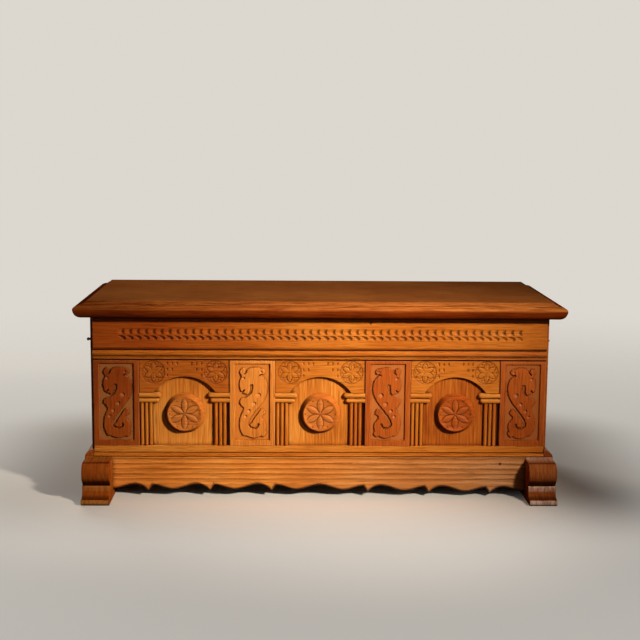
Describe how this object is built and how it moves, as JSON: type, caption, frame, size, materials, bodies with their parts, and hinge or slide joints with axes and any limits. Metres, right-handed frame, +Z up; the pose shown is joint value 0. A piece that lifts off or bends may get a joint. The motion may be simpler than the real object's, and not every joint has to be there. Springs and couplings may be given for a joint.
{
  "type": "coffer chest",
  "caption": "Low oak coffer with a hinged moulded lid, carved front of pilaster panels and arched bays, scalloped apron, runner feet and iron drop handles.",
  "frame": {"origin": "centre of the footprint at floor level", "axes": "+X to the right along the front, -Y towards the viewer in front of the carved front, +Z up"},
  "size_m": [1.2, 0.5214, 0.4945],
  "materials": {
    "honey_oak": "waxed oak, orange honey colour, satin",
    "red_oak": "waxed oak, stained redder, satin",
    "brown_oak": "waxed oak, stained brown, satin",
    "lid_oak": "polished oak, red-brown, satin",
    "plain_oak": "bare planed oak, matt",
    "black_iron": "forged iron, blackened"
  },
  "bodies": {
    "carcase": {"left_side_board": "honey_oak", "right_side_board": "honey_oak", "front_board": "honey_oak", "frieze_board": "honey_oak", "waist_moulding": "honey_oak", "bottom_rail": "honey_oak", "base_bead": "honey_oak", "front_apron": "honey_oak", "arch_board_1": "honey_oak", "arch_board_2": "honey_oak", "arch_board_3": "honey_oak", "capital_1": "honey_oak", "capital_2": "honey_oak", "capital_3": "honey_oak", "capital_4": "honey_oak", "capital_5": "honey_oak", "capital_6": "honey_oak", "column_1": "honey_oak", "column_2": "honey_oak", "column_3": "honey_oak", "column_4": "honey_oak", "column_5": "honey_oak", "column_6": "honey_oak", "pilaster_panel_1": "red_oak", "pilaster_panel_2": "red_oak", "pilaster_panel_3": "red_oak", "pilaster_panel_4": "red_oak", "boss_1": "red_oak", "boss_2": "red_oak", "boss_3": "red_oak", "left_runner_foot": "brown_oak", "right_runner_foot": "brown_oak", "left_base_moulding": "brown_oak", "right_base_moulding": "brown_oak", "back_board": "plain_oak", "bottom_board": "plain_oak", "front_bearer": "plain_oak", "back_bearer": "plain_oak", "back_plinth_rail": "plain_oak", "left_hinge_lower_leaf": "black_iron", "left_hinge_pin": "black_iron", "left_handle_plate": "black_iron", "right_hinge_lower_leaf": "black_iron", "right_hinge_pin": "black_iron", "right_handle_plate": "black_iron"},
    "lid": {"lid_board": "lid_oak", "lid_front_moulding": "lid_oak", "lid_left_moulding": "lid_oak", "lid_right_moulding": "lid_oak", "lid_left_batten": "plain_oak", "lid_right_batten": "plain_oak", "left_hinge_upper_leaf": "black_iron", "right_hinge_upper_leaf": "black_iron"},
    "left_bail": {"left_handle_bail": "black_iron"},
    "right_bail": {"right_handle_bail": "black_iron"}
  },
  "joints": [
    {"name": "lid_hinge", "type": "hinge", "parent": "carcase", "child": "lid", "pos_m": [0, 0.25565, 0.45425], "axis": [-1, 0, 0], "range_deg": [0, 95]},
    {"name": "left_bail_swing", "type": "hinge", "parent": "carcase", "child": "left_bail", "pos_m": [-0.584, 0.04035, 0.372], "axis": [0, 1, 0], "range_deg": [-15, 195]},
    {"name": "right_bail_swing", "type": "hinge", "parent": "carcase", "child": "right_bail", "pos_m": [0.584, 0.04035, 0.372], "axis": [0, -1, 0], "range_deg": [-15, 195]}
  ]
}
